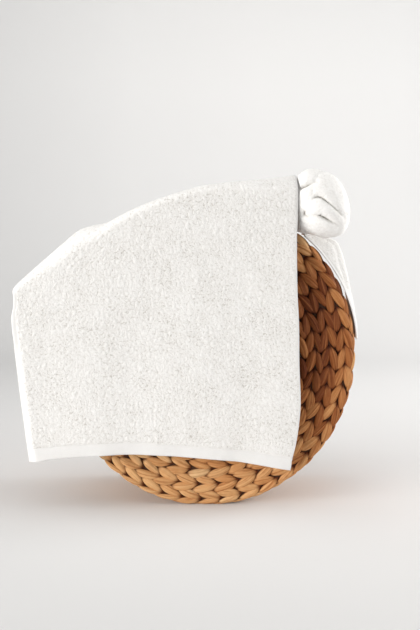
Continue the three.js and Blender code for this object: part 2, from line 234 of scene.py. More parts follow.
class Nodes:
    """Short names for the nodes that the materials are made of."""

    def __init__(self, nt):
        self.nt = nt

    def put(self, socket, value):
        if isinstance(value, bpy.types.NodeSocket):
            self.nt.links.new(value, socket)
        elif value is not None:
            socket.default_value = value

    def attr(self, name, out="Vector"):
        n = self.nt.nodes.new("ShaderNodeAttribute")
        n.attribute_name = name
        return n.outputs[out]

    def math(self, op, a, b=None, clamp=False):
        n = self.nt.nodes.new("ShaderNodeMath")
        n.operation, n.use_clamp = op, clamp
        self.put(n.inputs[0], a)
        self.put(n.inputs[1], b)
        return n.outputs[0]

    def vec(self, op, a, b=None, scale=None):
        n = self.nt.nodes.new("ShaderNodeVectorMath")
        n.operation = op
        self.put(n.inputs[0], a)
        self.put(n.inputs[1], b)
        if scale is not None:
            self.put(n.inputs["Scale"], scale)
        return n.outputs["Value"] if op in ("LENGTH", "DOT_PRODUCT", "DISTANCE") else n.outputs[0]

    def split(self, v):
        n = self.nt.nodes.new("ShaderNodeSeparateXYZ")
        self.put(n.inputs[0], v)
        return n.outputs

    def noise(self, v, scale, detail=2.0, rough=0.5, distort=0.0, out="Fac"):
        n = self.nt.nodes.new("ShaderNodeTexNoise")
        self.put(n.inputs["Vector"], v)
        n.inputs["Scale"].default_value = scale
        n.inputs["Detail"].default_value = detail
        n.inputs["Roughness"].default_value = rough
        n.inputs["Distortion"].default_value = distort
        return n.outputs[out]

    def voronoi(self, v, scale, feature="F1", random=1.0):
        n = self.nt.nodes.new("ShaderNodeTexVoronoi")
        n.feature = feature
        self.put(n.inputs["Vector"], v)
        n.inputs["Scale"].default_value = scale
        n.inputs["Randomness"].default_value = random
        return n.outputs["Distance"]

    def ramp(self, fac, *stops):
        n = self.nt.nodes.new("ShaderNodeValToRGB")
        r = n.color_ramp
        while len(r.elements) < len(stops):
            r.elements.new(0.5)
        for e, (at, colour) in zip(r.elements, stops):
            e.position = at
            e.color = (*colour, 1.0) if hasattr(colour, "__len__") else (colour, colour, colour, 1.0)
        self.put(n.inputs[0], fac)
        return n.outputs[0]

    def range(self, v, a, b, c=0.0, d=1.0, smooth=False):
        n = self.nt.nodes.new("ShaderNodeMapRange")
        n.interpolation_type = "SMOOTHSTEP" if smooth else "LINEAR"
        self.put(n.inputs["Value"], v)
        for key, x in zip(("From Min", "From Max", "To Min", "To Max"), (a, b, c, d)):
            n.inputs[key].default_value = x
        return n.outputs[0]

    def blend(self, fac, a, b, kind="MIX"):
        n = self.nt.nodes.new("ShaderNodeMix")
        n.data_type, n.blend_type = "RGBA", kind
        self.put(n.inputs[0], fac)
        for socket, v in ((n.inputs[6], a), (n.inputs[7], b)):
            if not isinstance(v, bpy.types.NodeSocket):
                v = (*v, 1.0) if hasattr(v, "__len__") and len(v) == 3 else v
            self.put(socket, v)
        return n.outputs[2]

    def bump(self, height, strength, distance, normal=None):
        n = self.nt.nodes.new("ShaderNodeBump")
        n.inputs["Strength"].default_value = strength
        n.inputs["Distance"].default_value = distance
        self.put(n.inputs["Height"], height)
        self.put(n.inputs["Normal"], normal)
        return n.outputs[0]


def terry_material():
    """White cotton terry: loops in the attribute cloth's own millimetres, flat-woven hems where zone is 1."""
    m, nt, bsdf = new_material("terry_cotton")
    k = Nodes(nt)
    cloth, zone, pile = k.attr("cloth"), k.attr("zone", "Fac"), k.attr("pile", "Fac")
    # the loops lie in short curled rows, with thin broken shadows between them
    bend = k.vec("SCALE", k.vec("SUBTRACT", k.noise(cloth, 0.17, 2.0, out="Color"), (0.5, 0.5, 0.5)), scale=9.0)
    where = k.vec("ADD", cloth, bend)
    rows = k.voronoi(k.vec("MULTIPLY", where, (1.0, 0.74, 1.0)), 1 / 7.6, "DISTANCE_TO_EDGE")
    small = k.voronoi(where, 1 / 3.5, "DISTANCE_TO_EDGE")
    broken = k.noise(cloth, 0.21, 2.0, 0.6)
    patches = k.noise(cloth, 0.021, 3.0, 0.55)
    fuzz = k.noise(cloth, 0.9, 3.0, 0.65)
    clumps = k.noise(cloth, 0.12, 2.0, 0.55)
    deep_rows = k.math("MULTIPLY", k.range(rows, 0.01, 0.17, 1.0, 0.0, smooth=True), k.range(broken, 0.49, 0.61))
    fine_rows = k.math("MULTIPLY", k.range(small, 0.02, 0.20, 0.5, 0.0, smooth=True), k.range(broken, 0.52, 0.38))
    gaps = k.math("ADD", deep_rows, fine_rows, clamp=True)
    gaps = k.math("MULTIPLY", gaps, k.range(patches, 0.36, 0.62, 0.45, 1.0))
    gaps = k.math("MULTIPLY", gaps, k.range(zone, 0.0, 0.8, 1.0, 0.0))
    c = k.split(cloth)
    rib = k.math("SINE", k.math("MULTIPLY", c[1], 6.2832 / 0.9))
    weave = k.math("MULTIPLY", rib, k.math("SINE", k.math("MULTIPLY", c[0], 6.2832 / 1.1)))
    # height in millimetres of the loops, and of the flat weave of the hems
    loop_h = k.math("ADD", k.math("MULTIPLY", k.range(rows, 0.0, 0.4), 0.8), k.math("MULTIPLY", fuzz, 0.6))
    flat_h = k.math("ADD", k.math("MULTIPLY", weave, 0.05), k.math("MULTIPLY", fuzz, 0.12))
    height = k.math("ADD", k.math("MULTIPLY", loop_h, k.math("SUBTRACT", 1.0, zone)), k.math("MULTIPLY", flat_h, zone))
    # painted shade: deep between the loops, where the pile is low, the cotton is coloured a little darker and warmer
    shade = k.ramp(pile, (0.0, (0.755, 0.740, 0.715)), (0.30, (0.815, 0.803, 0.785)), (0.65, (0.845, 0.837, 0.823)), (1.0, (0.865, 0.860, 0.849)))
    shade = k.blend(gaps, shade, TERRY_GAP, "MULTIPLY")
    # painted shade: where pile falls below 0, along the crease lines of the wound end, the colour is darkened much
    # further
    shade = k.blend(k.range(pile, -0.75, 0.0, 1.0, 0.0), shade, (0.40, 0.385, 0.36), "MULTIPLY")
    hem = k.blend(k.range(fuzz, 0.3, 0.7), (0.775, 0.768, 0.755), (0.805, 0.799, 0.788))
    tone = k.blend(k.range(zone, 0.5, 0.95, smooth=True), shade, hem)
    tone = k.blend(k.range(patches, 0.4, 0.7, 0.0, 0.10), tone, (0.88, 0.865, 0.835), "MULTIPLY")
    tone = k.blend(k.range(clumps, 0.3, 0.72, 0.12, 0.0), tone, (0.80, 0.79, 0.77), "MULTIPLY")
    k.put(bsdf.inputs["Base Color"], tone)
    k.put(bsdf.inputs["Roughness"], k.range(fuzz, 0.2, 0.8, 0.88, 1.0))
    k.put(bsdf.inputs["Normal"], k.bump(height, 0.55, 0.0012))
    bsdf.inputs["Specular IOR Level"].default_value = 0.15
    bsdf.inputs["Sheen Weight"].default_value = 0.25
    bsdf.inputs["Sheen Roughness"].default_value = 0.55
    bsdf.inputs["Sheen Tint"].default_value = (1.0, 0.99, 0.97, 1.0)
    return m


TERRY_GAP = (0.66, 0.64, 0.61)


def fibre_material():
    """Dried plant fibre: leaf holds each strand's own length and width in millimetres and its random number."""
    m, nt, bsdf = new_material("woven_fibre")
    k = Nodes(nt)
    leaf = k.attr("leaf")
    tone, edge = k.attr("tone", "Fac"), k.attr("edge", "Fac")
    along = k.vec("MULTIPLY", leaf, (0.035, 1.0, 1.0))
    streaks = k.noise(along, 0.30, 4.0, 0.70, 0.35)
    fine = k.noise(along, 2.4, 3.0, 0.6)
    blotch = k.noise(leaf, 0.07, 2.0, 0.5)
    stops = ((0.0, (0.185, 0.048, 0.010)), (0.2, (0.355, 0.122, 0.033)), (0.36, (0.49, 0.205, 0.068)),
             (0.58, (0.63, 0.31, 0.118)), (0.8, (0.72, 0.415, 0.185)), (1.0, (0.80, 0.54, 0.285)))
    # tone carries the painted light, shade and cloth shadow set for each pair of strands
    body = k.ramp(tone, *stops)
    pale = k.ramp(k.math("ADD", tone, 0.26), *stops)
    c = k.blend(k.range(streaks, 0.36, 0.49, 0.72, 0.0), body, (0.52, 0.36, 0.25), "MULTIPLY")
    c = k.blend(k.range(streaks, 0.52, 0.70, 0.0, 0.85), c, pale)
    c = k.blend(k.range(blotch, 0.35, 0.7, 0.0, 0.35), c, (0.70, 0.50, 0.36), "MULTIPLY")
    c = k.blend(k.range(fine, 0.3, 0.6, 0.20, 0.0), c, (0.64, 0.52, 0.42), "MULTIPLY")
    # painted shade: dark along the strands' sides and at their ends, where they tuck under each other
    c = k.blend(k.range(edge, 0.26, 0.72, 0.0, 1.0, smooth=True), c, (0.21, 0.10, 0.055), "MULTIPLY")
    k.put(bsdf.inputs["Base Color"], c)
    k.put(bsdf.inputs["Roughness"], k.range(streaks, 0.3, 0.7, 0.66, 0.48))
    h = k.math("ADD", k.math("MULTIPLY", streaks, 1.0), k.math("MULTIPLY", fine, 0.35))
    k.put(bsdf.inputs["Normal"], k.bump(h, 0.75, 0.002))
    bsdf.inputs["Specular IOR Level"].default_value = 0.2
    return m


def gap_shade_material():
    """Painted shade: the body under the plaits is coloured near black, standing for the deep shade seen between the
    strands.
    """
    m, nt, bsdf = new_material("woven_fibre_gap_shade")
    k = Nodes(nt)
    co = nt.nodes.new("ShaderNodeTexCoord").outputs["Object"]
    n = k.noise(co, 260.0, 4.0, 0.65)
    k.put(bsdf.inputs["Base Color"], k.ramp(n, (0.25, (0.024, 0.008, 0.003)), (0.75, (0.085, 0.033, 0.012))))
    k.put(bsdf.inputs["Roughness"], k.range(n, 0.2, 0.8, 0.95, 0.75))
    k.put(bsdf.inputs["Normal"], k.bump(n, 0.5, 0.002))
    return m


terry = terry_material()
fibre = fibre_material()
inside = gap_shade_material()


# ------------------------------------------------------------------ basket
def outline(a):
    return BASKET["radius"] + BASKET["oval"] * np.cos(2 * (a - BASKET["turn"]))


_a = np.linspace(0, math.pi, 4001)
_x, _top = BASKET["x"] + outline(_a) * np.cos(_a), BASKET["z"] + outline(_a) * np.sin(_a)


def wall_top(x):
    return np.interp(x, _x[::-1], _top[::-1])


def profile_path():
    """The basket's section from the middle of its base, round the wall and rim, to the middle inside."""
    r, e, d, w = BASKET["radius"], BASKET["edge"], BASKET["depth"], BASKET["wall"]
    rim, rd, base = BASKET["rim"], BASKET["rim_depth"], BASKET["base"]
    arc = [(r - e + e * math.sin(t), e - e * math.cos(t)) for t in np.linspace(0, math.pi / 2, 9)]
    back = [(r, d - 14), (r - 0.6, d - 9), (r - 3, d - 4), (r - 7.5, d - 0.8), (r - 12, d), (r - rim + 7, d - 0.4),
            (r - rim + 2, d - 3), (r - rim, d - 7.5), (r - rim + 1.2, d - 12), (r - rim + 5, d - rd - 3.5), (r - w, d - rd - 8)]
    inner = [(r - w, base + 9), (r - w - 1.2, base + 4), (r - w - 4.5, base + 1), (r - w - 10, base), (0, base)]
    pts = np.array([(0, 0)] + arc + back + inner, float)
    step = np.hypot(*np.diff(pts, axis=0).T)
    m = np.concatenate([[0], np.cumsum(step)])
    grid = np.arange(0, m[-1], 0.5)
    return grid, np.interp(grid, m, pts[:, 0]), np.interp(grid, m, pts[:, 1])


PATH_M, PATH_R, PATH_Y = profile_path()
_k = np.ones(13) / 13
_pad = lambda v: np.convolve(np.pad(v, 6, mode="reflect", reflect_type="odd"), _k, "valid")
PATH_R, PATH_Y = _pad(PATH_R), _pad(PATH_Y)
PATH_NR, PATH_NY = -np.gradient(PATH_Y), np.gradient(PATH_R)
_n = np.hypot(PATH_NR, PATH_NY)
PATH_NR, PATH_NY = -PATH_NR / _n, -PATH_NY / _n      # away from the wall's middle


def mark(r=None, y=None, after=0.0):
    """Where along the section a radius or a depth is first reached."""
    ok = PATH_M >= after
    v = np.abs(PATH_R - r) if r is not None else np.abs(PATH_Y - y)
    return PATH_M[ok][np.argmin(v[ok])]


def on_basket(m, a, h):
    """Points at a place along the section, an angle and a height off the surface."""
    r = np.interp(m, PATH_M, PATH_R) + h * np.interp(m, PATH_M, PATH_NR)
    y = np.interp(m, PATH_M, PATH_Y) + h * np.interp(m, PATH_M, PATH_NY)
    r = r * outline(a) / BASKET["radius"]
    x, z = BASKET["x"] + r * np.cos(a), BASKET["z"] + r * np.sin(a)
    z = np.where(z < 2.5, 2.5 * np.exp((np.minimum(z, 2.5) - 2.5) / 2.5), z)
    return np.stack([x, y, z], -1)


SUNK = 6.2          # the strands lie this deep, so that their crowns reach the basket's surface
PLAIT = 28.0        # width of one plait
PITCH = 36.5        # from one pair of strands to the next along it
LEAN = (12.9, -0.6) # a strand's middle line at its outer end and at its tip, from the plait's own


def strands(name, places, across, lengthwise, tall=8.2, wide=19.6, long=51.0):
    """One joined mesh of closed strands. places has a row for each: section place of the plait's
    middle line, angle, side of the plait, radius there, tone, size."""
    p = np.array(places, float)
    n = len(p)
    nu, nv = lengthwise + 1, across + 1
    u, v = np.meshgrid(np.linspace(0, 1, nu), np.linspace(-1, 1, nv), indexing="ij")
    u, v = u[None], v[None]
    col = lambda i: p[:, i][:, None, None]
    r1, r2, r3, r4, r5, r6 = (rng.random(n)[:, None, None] for _ in range(6))
    side, radius, size = col(2), np.maximum(col(3), 22), col(5)
    length = long * size * (0.95 + 0.12 * r1)
    half = wide / 2 * size * (0.90 + 0.18 * r2)
    # flatter round the edge and on the wall, where the cloth lies close
    height = tall * (0.86 + 0.20 * r3) * (1 - 0.15 * ease((col(0) - 248) / 16))
    widest = 0.47 + 0.10 * (r4 - 0.5)
    uu = u ** (math.log(0.5) / np.log(widest))
    w = half * np.sin(np.pi * uu) ** mix(0.72, 0.92, u)
    # a strand runs from the plait's outer edge to its middle line, a little bowed
    lean = (mix(LEAN[0], LEAN[1], u) + 1.4 * np.sin(np.pi * u) + (r5 - 0.5) * 2.0) * size
    slope = side * (LEAN[1] - LEAN[0]) * size / length
    s0 = (u - 0.5) * length + (r6 - 0.5) * 3.0
    s = s0 - slope * w * v
    off = side * lean + w * v - PLAIT / (2 * math.pi) * s / radius
    arch = np.clip(1 - np.abs(v) ** 2.5, 0, 1) ** 0.62
    ridges = (0.42 * np.cos(np.pi * (v * (1.8 + 0.8 * r1) + 2 * r2)) - 0.8 * np.exp(-(((v - 0.9 * (r5 - 0.5)) / 0.2) ** 2))
              ) * arch * np.sin(np.pi * u)
    rise = np.sin(np.pi * np.clip(u, 0, 1)) ** 0.46
    # both ends dip under the strands that cross them, the one on the middle line more
    dip = -2.4 * ease((u - 0.74) / 0.26) - 1.2 * ease((0.2 - u) / 0.2)
    tilt = ((r4 - 0.5) * 1.6 - 0.9 * side * (0.5 - u) + 1.0 * side) * v * (1 - 0.4 * ease((col(0) - 248) / 16))
    h = -SUNK - 1.0 + height * rise * arch + (tilt + ridges + dip) * rise
    top = on_basket(col(0) + off, col(1) + s / radius, h)
    pts = top.reshape(n, -1, 3)
    count = nu * nv
    g = grid_faces(nu, nv)
    i = np.arange(nu - 1)
    under = np.stack([i * nv, (i + 1) * nv, (i + 1) * nv + nv - 1, i * nv + nv - 1], -1)
    faces = (np.concatenate([g, under])[None] + (np.arange(n) * count)[:, None, None]).reshape(-1, 4)
    leaf = np.stack(np.broadcast_arrays(s0 + 50, w * v, 61 * r1 + 23 * r5), -1)
    tone = np.broadcast_to(np.clip(col(4) + 0.30 * (r6 - 0.5) + 0.20 * (r3 - 0.5), 0, 1), h.shape)
    # edge marks each strand's sides and ends, where the fibre material paints shade
    edge = np.broadcast_to(np.clip(np.maximum(np.abs(v) ** 4.2, np.maximum((1 - u) ** 6, u ** 4.2)), 0, 1), h.shape)
    ob = add_mesh(name, pts.reshape(-1, 3), [faces], fibre,
                  [("leaf", "FLOAT_VECTOR", leaf.reshape(-1, 3)), ("tone", "FLOAT", tone.reshape(-1)),
                   ("edge", "FLOAT", edge.reshape(-1))])
    close_tips(ob)
    return ob


def close_tips(ob):
    """Joins vertices that lie in one place, such as those of a strand's pointed ends."""
    import bmesh
    bm = bmesh.new()
    bm.from_mesh(ob.data)
    bmesh.ops.remove_doubles(bm, verts=bm.verts, dist=2e-7)
    bmesh.ops.dissolve_degenerate(bm, edges=bm.edges, dist=1e-7)
    bmesh.ops.recalc_face_normals(bm, faces=bm.faces)
    bm.to_mesh(ob.data)
    bm.free()
    ob.data.polygons.foreach_set("use_smooth", np.ones(len(ob.data.polygons), bool))


def plait_rows():
    """One plait wound from the middle of the base outwards, round the wall and rim, and in again
    to the middle of the inside: its pairs of strands, by their place along the section."""
    rows = []
    for way in (1, -1):
        a, m, start = math.radians(-90), 259.0, way > 0
        while 17 < m < PATH_M[-1] - 17:
            r = float(np.interp(m, PATH_M, PATH_R))
            # painted light and shade: darker towards the upper right, paler towards the bottom and left
            tone = 0.66 - 0.03 * math.sin(a) - 0.10 * math.cos(a) + rng.uniform(-0.05, 0.05)
            # painted shadow of the hanging cloth: a dark band on the base just right of its edge, fading out low down
            # and near the top
            low, high = ease((math.sin(a) + 0.85) / 0.7), ease((math.sin(a) - 0.55) / 0.25)
            tone -= 0.57 * math.exp(-(((r * math.cos(a) - 196) / 60) ** 2)) * float(low * (1 - high))
            for side in (1, -1) if start else ():
                rows.append((m, a + rng.uniform(-1.8, 1.8) / r, side, r, tone, 1 + rng.uniform(-0.03, 0.03)))
            start = True
            step = way * (PITCH + rng.uniform(-1.5, 1.5)) / r
            a += step
            m -= PLAIT * step / (2 * math.pi)
    return rows


edge_m = mark(r=BASKET["radius"])
wall_start = mark(y=BASKET["edge"])
wall_end = mark(y=BASKET["depth"] - 14, after=wall_start)
rim_in = mark(r=BASKET["radius"] - BASKET["rim"] + 0.8, after=wall_end)
inner_start = mark(y=BASKET["depth"] - BASKET["rim_depth"] - 10, after=rim_in + 4)
inner_end = mark(y=BASKET["base"] + 8, after=inner_start + 60)
inner_base = mark(r=BASKET["radius"] - BASKET["wall"] - 12, after=inner_end)

total = PATH_M[-1]
all_rows = plait_rows()
between = lambda lo, hi: [row for row in all_rows if lo <= row[0] < hi]
front = strands("basket_base_plait", between(0, 300), 8, 13)
side_plaits = strands("basket_wall_plaits", between(300, rim_in + 4), 6, 10)
lining = strands("basket_inside_plaits", between(rim_in + 4, total), 4, 8, tall=7.4)


def basket_core():
    """The closed body under the strands."""
    ms = np.concatenate([np.linspace(0.5, edge_m - 10, 14), np.linspace(edge_m - 6, wall_start + 4, 8),
                         np.linspace(wall_start + 16, wall_end, 8), np.linspace(wall_end + 5, inner_start + 4, 14),
                         np.linspace(inner_start + 20, inner_end - 8, 7), np.linspace(inner_end, inner_base, 7),
                         np.linspace(inner_base + 16, total - 0.5, 12)])
    a = np.linspace(0, 2 * math.pi, 144, endpoint=False)
    pts = on_basket(ms[:, None], a[None], np.full((len(ms), len(a)), -SUNK + 0.4))
    n, c = pts.shape[:2]
    flat = pts.reshape(-1, 3)
    faces = grid_faces(n, c, loop=True)
    ends = np.array([flat[:c].mean(0), flat[-c:].mean(0)])
    k = np.arange(c)
    fan0 = np.stack([np.full(c, n * c), (k + 1) % c, k], -1)
    fan1 = np.stack([np.full(c, n * c + 1), (n - 1) * c + k, (n - 1) * c + (k + 1) % c], -1)
    # the core wears the painted-shade material
    ob = add_mesh("basket_core", np.concatenate([flat, ends]), [faces, fan0, fan1], inside)
    close_tips(ob)
    return ob


basket_body = basket_core()
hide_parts("basket")


# ------------------------------------------------------------------ towel
def core(x, a):
    """The wound core's section at x: a = 90 degrees is its top, 0 its front."""
    x, a = np.broadcast_arrays(np.asarray(x, float), np.asarray(a, float))
    top0 = column(ROLL, "x", "top", x)
    slope = (column(ROLL, "x", "top", x + 3) - column(ROLL, "x", "top", x - 3)) / 6
    top = top0 - (CLOTH["thick"] + CLOTH["gap"]) * np.hypot(1, slope)
    air = top0 - column(ROLL, "x", "thick", x)
    over = np.where(np.abs(x - BASKET["x"]) < 255, wall_top(x) + CLOTH["clear"], -1e3)
    low = np.maximum(air, over) + 0.25 * np.maximum(0, 6 - np.abs(air - over))
    depth = column(ROLL, "x", "depth", x)
    flat = mix(2.05, 2.9, ease((60 - (top - low)) / 40))
    soft = lambda v: np.sign(v) * np.abs(v) ** (2 / flat)
    return np.stack([x, CORE_FRONT + depth / 2 - depth / 2 * soft(np.cos(a)),
                     (top + low) / 2 + (top - low) / 2 * soft(np.sin(a))], -1)


def over_core(x, a, out):
    h = 0.02
    p = core(x, a)
    n = unit(np.cross(core(x, a + h) - core(x, a - h), core(x + 1, a) - core(x - 1, a)))
    return p - n * out


def hanging_y(x, fall, left):
    y = mix(HANGS["top"], HANGS["hem"], fall)
    for wx, wide, out in zip(WAVES["x"], WAVES["wide"], WAVES["out"]):
        y = y - 0.6 * out * np.exp(-(((x - wx) / wide) ** 2)) * ease(fall * 1.2)
    return y + HANGS["curl_back"] * (1 - ease((x - left) / HANGS["curl_wide"])) * ease((fall - 0.12) / 0.5)


def loose_end_grid(cols, wrap, drop):
    """The middle surface of the loose end, from its tucked start to the hem."""
    share = np.linspace(0, 1, cols + 1)[None]
    out = CLOTH["gap"] + CLOTH["thick"] / 2
    # even steps of arc round the core
    fine = np.linspace(0, 1, 161)[:, None]
    xs = mix(mix(TIP["sheet_back"], TIP["sheet_front"], ease(fine)), TIP["right"], share)
    dense = over_core(xs, np.radians(column(ROLL, "x", "tuck", xs)) * (1 - fine), out)
    arc = np.concatenate([np.zeros((1, cols + 1)), np.cumsum(np.linalg.norm(np.diff(dense, axis=0), axis=-1), axis=0)])
    wound = np.empty((wrap + 1, cols + 1, 3))
    for j in range(cols + 1):
        at = np.linspace(0, arc[-1, j], wrap + 1)
        for c in range(3):
            wound[:, j, c] = np.interp(at, arc[:, j], dense[:, j, c])
    s = wound[-1][None]
    fall = (np.arange(1, drop + 1) / drop)[:, None]
    hem_x = mix(HEM["x"][0], HEM["x"][-1], share)
    hem_z = column(HEM, "x", "z", hem_x)
    left, right = column(LEFT_EDGE, "fall", "x", fall), column(RIGHT_EDGE, "fall", "x", fall)
    w = ease(fall * 8)
    x = mix(mix(s[..., 0], left, w), mix(s[..., 0], right, w), share) * w + s[..., 0] * (1 - w)
    z = mix(s[..., 2], hem_z, fall)
    y = mix(s[..., 1], hanging_y(x, fall, left), ease(fall * 4))
    return np.concatenate([wound, np.stack([x, y, z], -1)])


def terry_pile(c, s, seed=0):
    """Height of the pile, 0 to about 1, at a place in the cloth's own millimetres."""
    drift = 1.6 * smooth_noise(c / 9, s / 9, seed=3 + seed)
    t = tufts((c + drift) / 4.3, (s + drift) / 5.4, seed=seed)
    fine = tufts((c - drift) / 2.9, (s + drift) / 3.4, seed=seed + 9)
    strips = 0.5 + 0.5 * smooth_noise(c / 5.0, s / 26.0, seed=7 + seed)
    patch = 0.5 + 0.5 * smooth_noise(c / 34, s / 40, seed=12 + seed)
    return np.clip(0.62 * t + 0.30 * fine + 0.16 * strips - 0.02, 0, 1) * (0.72 + 0.36 * patch)


def make_loose_end():
    cols, wrap, drop = 236, 58, 200
    mid = loose_end_grid(cols, wrap, drop)
    rows, cols = mid.shape[:2]
    n = grid_normals(mid)
    if n[rows // 2 + 40, cols // 2, 1] > 0:
        n = -n
    # the cloth's own millimetres: c from the left edge, s up from the hem
    seg = np.linalg.norm(np.diff(mid, axis=0), axis=-1)
    s = np.concatenate([np.cumsum(seg[::-1], axis=0)[::-1], np.zeros((1, cols))])
    c = np.broadcast_to(np.linspace(0, 500, cols)[None], s.shape)
    hem_top = np.interp(c, [0, 45, 230, 380, 500], [26, 24, 21.5, 21.5, 25])
    side_left = np.interp(s, [0, 120, 240, 330, 700], [11, 11, 9, 6, 6])
    side_right = np.interp(s, [0, 60, 700], [6, 3.6, 2.8])
    in_hem = ease((hem_top - s) / 2.4 + 0.5)
    in_left = ease((side_left - c) / 2.4 + 0.5)
    in_right = ease((c - (500 - side_right)) / 2.4 + 0.5)
    zone = np.maximum(in_hem, np.maximum(in_left, in_right))
    pile = terry_pile(c, s)
    flat = 0.3 + 0.6 * in_right * (1 - in_hem) + 0.3 * in_left * (1 - in_hem)
    height = mix(0.4 + 1.5 * pile, flat, zone)
    # a stitched groove with its dimples along the top of the hem
    line = np.exp(-(((s - hem_top + 0.4) / 1.6) ** 2))
    dimple = 0.5 + 0.5 * np.cos(2 * math.pi * c / 4.8)
    height -= line * (0.55 + 0.75 * dimple) * (1 - 0.7 * np.maximum(in_left, in_right))
    side_line = np.exp(-(((c - side_left + 0.4) / 1.3) ** 2)) + np.exp(-(((500 - side_right - c) / 1.2) ** 2))
    height -= side_line * 0.3 * (1 - in_hem)
    # soft cockles of the hanging cloth and a slightly rippled hem
    soft = 0.7 * smooth_noise(c / 62, s / 90, seed=21) + 0.4 * smooth_noise(c / 27, s / 44, seed=22)
    soft = soft * ease((430 - s) / 120)
    ripple = 1.1 * np.sin(c / 17 + 1.5 * smooth_noise(c / 60, 0 * c, seed=5)) * np.exp(-s / 16)
    mid = mid + n * (soft + ripple)[..., None]
    edge_i = np.minimum(np.arange(rows), np.arange(rows)[::-1])[:, None]
    edge_j = np.minimum(np.arange(cols), np.arange(cols)[::-1])[None]
    edge = np.minimum(edge_i, edge_j)
    thin = np.where(edge == 0, 0.55, np.where(edge == 1, 0.93, 1.0))
    thin[:-2, -2:] = (1.0, 0.86)
    body = 1.15
    front_pts = mid + n * ((body + np.maximum(height, -0.6)) * thin)[..., None]
    ri, cj = np.arange(0, rows, 2), np.arange(0, cols, 2)
    back_h = mix(0.9 * terry_pile(c, s, 40) + 0.4, np.full_like(pile, 0.2), zone)
    back_pts = (mid - n * ((body + back_h) * thin)[..., None])[np.ix_(ri, cj)]
    br, bc = back_pts.shape[:2]
    f = grid_faces(rows, cols)
    first = rows * cols
    b = grid_faces(br, bc, start=first, flip=True)
    # the rim joins every second vertex of the fine side to the coarse side
    fine_loop = np.concatenate([np.arange(cols - 1), (np.arange(rows - 1)) * cols + cols - 1,
                                (rows - 1) * cols + np.arange(cols - 1, 0, -1), np.arange(rows - 1, 0, -1) * cols])
    coarse_loop = first + np.concatenate([np.arange(bc - 1), np.arange(br - 1) * bc + bc - 1,
                                          (br - 1) * bc + np.arange(bc - 1, 0, -1), np.arange(br - 1, 0, -1) * bc])
    k = np.arange(len(coarse_loop))
    f0, f1, f2 = fine_loop[2 * k], fine_loop[2 * k + 1], fine_loop[(2 * k + 2) % len(fine_loop)]
    c0, c1 = coarse_loop, coarse_loop[(k + 1) % len(coarse_loop)]
    tris = np.concatenate([np.stack([f1, f0, c0], -1), np.stack([f1, c0, c1], -1), np.stack([f2, f1, c1], -1)])
    pts = np.concatenate([front_pts.reshape(-1, 3), back_pts.reshape(-1, 3)])
    pick = lambda v: np.concatenate([v.reshape(-1), v[np.ix_(ri, cj)].reshape(-1)])
    cloth = np.stack([pick(c), pick(s), np.concatenate([np.zeros(rows * cols), np.full(br * bc, 300.0)])], -1)
    ob = add_mesh("towel_hanging_half", pts, [f, b, tris], terry,
                  [("cloth", "FLOAT_VECTOR", cloth), ("zone", "FLOAT", pick(zone)),
                   ("pile", "FLOAT", np.concatenate([pile.reshape(-1), pile[np.ix_(ri, cj)].reshape(-1)]))])
    area = float(np.linalg.norm(np.cross(mid[1:, :-1] - mid[:-1, :-1], mid[:-1, 1:] - mid[:-1, :-1]), axis=-1).sum()) * 1e-6
    return ob, area


def crease(x, z):
    """How deep the creases of the wound end are at a place seen from the front, their nearness, and a mask for the
    painted shade along each crease line.
    """
    deepest, line = np.zeros(x.shape), np.zeros(x.shape)
    puff = np.full(x.shape, 99.0)
    for t in CREASES:
        d_best = np.full(x.shape, 99.0)
        deep = np.zeros(x.shape)
        for i in range(len(t["x"]) - 1):
            ax, az, bx, bz = t["x"][i], t["z"][i], t["x"][i + 1], t["z"][i + 1]
            u = np.clip(((x - ax) * (bx - ax) + (z - az) * (bz - az)) / ((bx - ax) ** 2 + (bz - az) ** 2), 0, 1)
            d = np.hypot(x - mix(ax, bx, u), z - mix(az, bz, u))
            near = d < d_best
            d_best = np.where(near, d, d_best)
            deep = np.where(near, mix(t["deep"][i], t["deep"][i + 1], u), deep)
        deepest = np.maximum(deepest, deep * (0.78 * np.exp(-((d_best / 2.0) ** 1.4)) + 0.22 * np.exp(-((d_best / 6.5) ** 2))))
        line = np.maximum(line, np.minimum(deep / 8, 1) * np.exp(-((d_best / 1.7) ** 2)))
        puff = np.minimum(puff, d_best + (9 - np.minimum(deep, 9)) * 0.6)
    return deepest, puff, line


